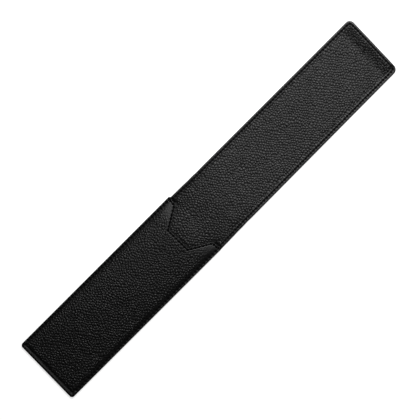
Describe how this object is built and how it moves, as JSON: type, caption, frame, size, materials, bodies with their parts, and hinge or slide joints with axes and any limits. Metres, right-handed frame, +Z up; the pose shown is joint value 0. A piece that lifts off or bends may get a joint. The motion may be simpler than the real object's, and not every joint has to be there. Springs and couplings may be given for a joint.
{
  "type": "pen case",
  "caption": "Soft leather pen sleeve, open: a puffed, stitched pocket with a notched mouth and a long fold-over flap that tucks in.",
  "frame": {"origin": "centre of the outline on the surface that the open sleeve lies on", "axes": "+Y from the pocket's closed end to the flap's tip, +X across to the right, +Z up from the surface"},
  "size_m": [0.05, 0.3122, 0.0103],
  "materials": {
    "grained_leather": "semi-matte black, pebble grain",
    "lining_leather": "semi-matte black, pebble grain",
    "stiffener_board": "raw grey fibre board",
    "seam_thread": "waxed black thread"
  },
  "bodies": {
    "pocket": {"pocket_back_cover": "grained_leather", "pocket_back_board": "stiffener_board", "pocket_back_lining": "lining_leather", "pocket_front_cover": "grained_leather", "pocket_front_lining": "lining_leather", "side_seam_thread_left": "seam_thread", "side_seam_thread_right": "seam_thread", "mouth_seam_thread": "seam_thread", "neck_seam_thread_left": "seam_thread", "neck_seam_thread_right": "seam_thread"},
    "crease": {"crease_cover": "grained_leather", "crease_lining": "lining_leather", "crease_seam_thread_left": "seam_thread", "crease_seam_thread_right": "seam_thread"},
    "flap": {"flap_cover": "grained_leather", "flap_board": "stiffener_board", "flap_lining": "lining_leather", "flap_seam_thread": "seam_thread"}
  },
  "joints": [
    {"name": "lower_crease_fold", "type": "hinge", "parent": "pocket", "child": "crease", "pos_m": [0, 0.00165, 0.0017], "axis": [1, 0, 0], "range_deg": [0, 87.5]},
    {"name": "upper_crease_fold", "type": "hinge", "parent": "crease", "child": "flap", "pos_m": [0, 0.01115, 0.0017], "axis": [1, 0, 0], "range_deg": [0, 87.5]}
  ]
}
